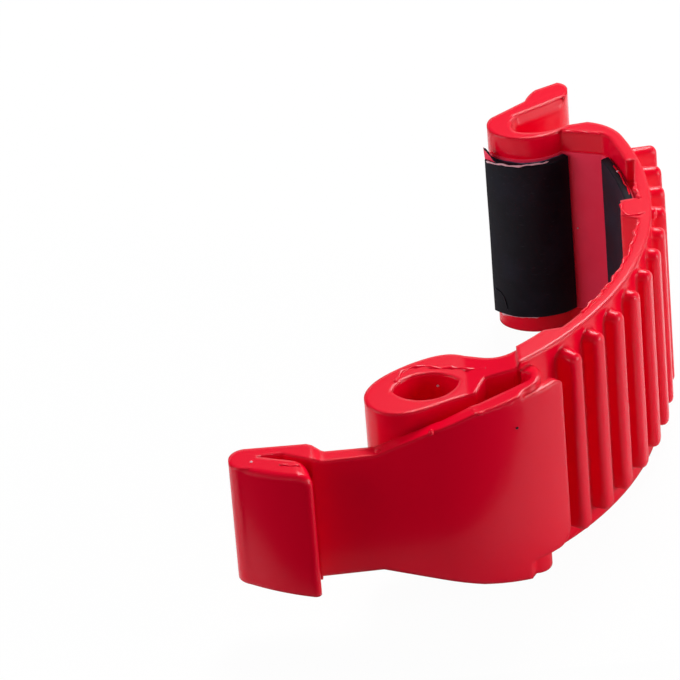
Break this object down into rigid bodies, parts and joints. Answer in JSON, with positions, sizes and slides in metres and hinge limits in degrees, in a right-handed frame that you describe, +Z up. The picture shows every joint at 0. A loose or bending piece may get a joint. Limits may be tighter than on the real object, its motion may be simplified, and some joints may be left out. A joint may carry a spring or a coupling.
{
  "type": "ground glass joint clip",
  "caption": "Moulded plastic clip that wraps round a ground glass joint to hold its halves together, with a ribbed springy arm, a catch hook, a hinged strap and rubber pads.",
  "frame": {"origin": "middle of the underside of the bounding box of the whole clip", "axes": "+Z up along the axis of the joint that the clip holds, +X towards the ribbed outer side of the arm, +Y towards the catch hook"},
  "size_m": [0.0452, 0.0626, 0.0232],
  "materials": {
    "red_plastic": "glossy, with softly rounded moulded edges",
    "clear_tape": "satin film, slightly milky over the red",
    "black_rubber": "matt"
  },
  "bodies": {
    "root": {"clip_moulding": "red_plastic", "adhesive_tape": "clear_tape", "hook_pad": "black_rubber", "inner_pad": "black_rubber"}
  },
  "joints": []
}
